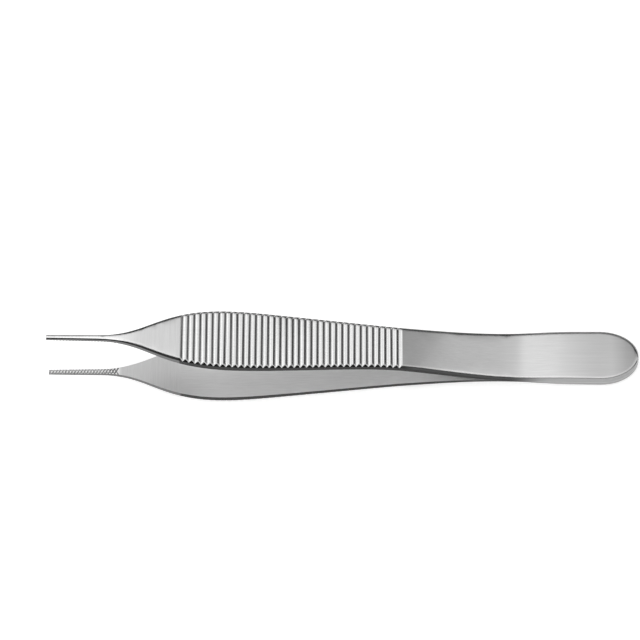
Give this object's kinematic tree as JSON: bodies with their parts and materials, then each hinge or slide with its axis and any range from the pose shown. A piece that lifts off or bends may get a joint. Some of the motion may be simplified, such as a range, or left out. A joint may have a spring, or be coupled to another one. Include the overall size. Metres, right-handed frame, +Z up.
{
  "type": "thumb forceps",
  "caption": "Spring forceps of two welded arms, with fine cross-serrated jaws, a broad fluted grip and a narrow flat tail, for holding dressings and fine tissue.",
  "frame": {"origin": "middle of the footprint of the forceps, on the surface that they lie on, resting on the lower arm's outer face", "axes": "+X along the forceps from the jaws to the tail, +Y across the arms, +Z up, from the lower arm to the upper arm"},
  "size_m": [0.1202, 0.013, 0.0173],
  "materials": {
    "satin_steel": "satin ground stainless steel, with brighter edges and flutes"
  },
  "bodies": {
    "root": {"upper_arm": "satin_steel", "lower_arm": "satin_steel"}
  },
  "joints": []
}
